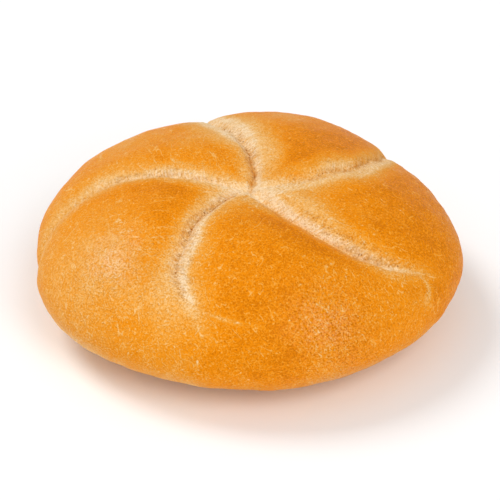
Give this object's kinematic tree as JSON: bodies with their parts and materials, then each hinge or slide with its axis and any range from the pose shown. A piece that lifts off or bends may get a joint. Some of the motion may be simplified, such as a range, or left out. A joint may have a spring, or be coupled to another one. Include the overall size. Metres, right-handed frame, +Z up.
{
  "type": "kaiser roll",
  "caption": "Round kaiser roll with a flat sole, its domed golden crust folded into a pinwheel star of petals that wind round a sunken centre.",
  "frame": {"origin": "on the plane that the sole rests on, under the middle of the bounding box", "axes": "+Z up through the crown; the folds leave the sunken centre towards +Y, -X, between -X and -Y, between -Y and +X, and +X"},
  "size_m": [0.1068, 0.1064, 0.0351],
  "materials": {
    "crust": "baked bread crust, satin golden brown, finely pebbled, paler in the folds"
  },
  "bodies": {
    "root": {"roll": "crust"}
  },
  "joints": []
}
